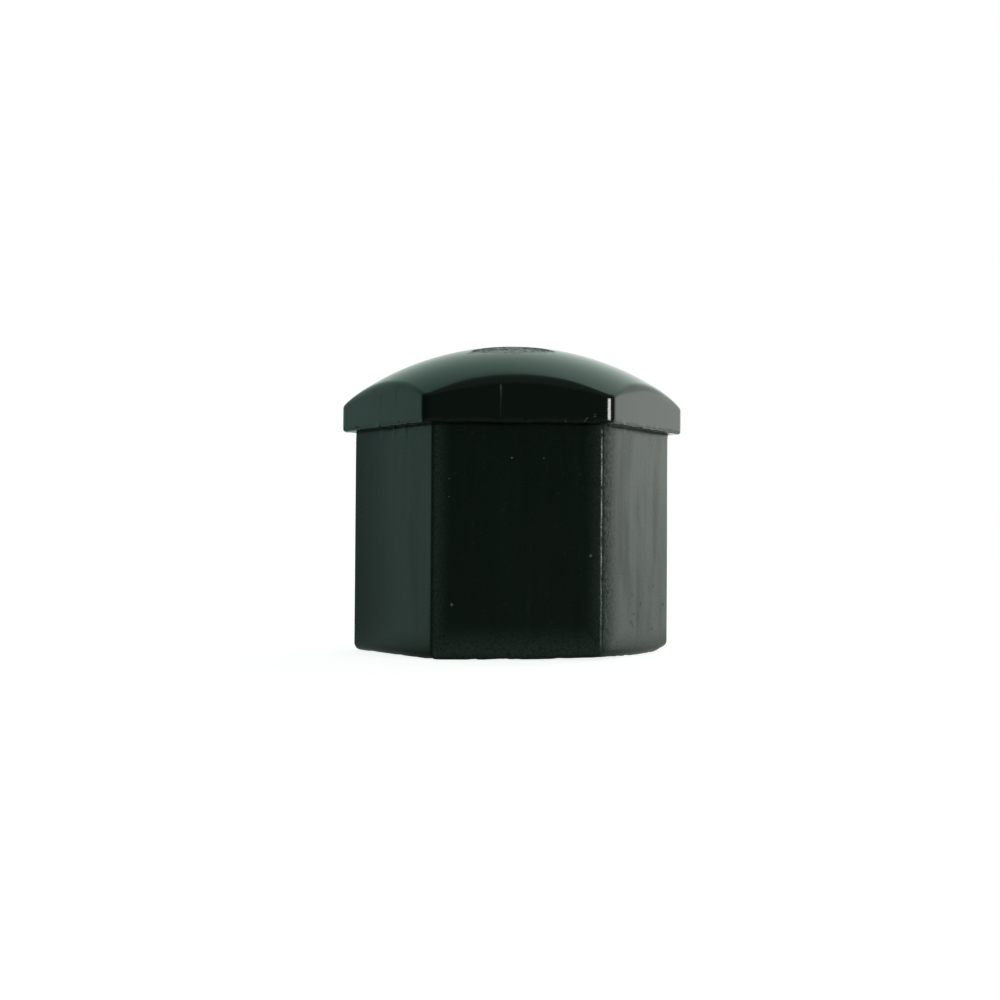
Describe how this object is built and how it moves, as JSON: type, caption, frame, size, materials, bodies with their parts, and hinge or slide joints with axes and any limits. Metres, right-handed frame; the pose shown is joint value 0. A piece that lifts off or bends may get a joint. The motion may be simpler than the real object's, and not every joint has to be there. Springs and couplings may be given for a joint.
{
  "type": "wheel nut cover cap",
  "caption": "Hexagonal push-on plastic cap with a wider domed head and an open socket that grips and hides a wheel nut.",
  "frame": {"origin": "centre of the open end, in the plane of the rim that the cap stands on", "axes": "+Z along the hexagon's axis, from the open end to the dome; two flats face -Y and +Y, two corners lie on X"},
  "size_m": [0.0244, 0.0214, 0.0218],
  "materials": {
    "black_plastic": "satin black moulded plastic with a faint green cast, glossier on the domed head, finely pitted and streaked on the skirt"
  },
  "bodies": {
    "root": {"wheel_nut_cap": "black_plastic"}
  },
  "joints": []
}
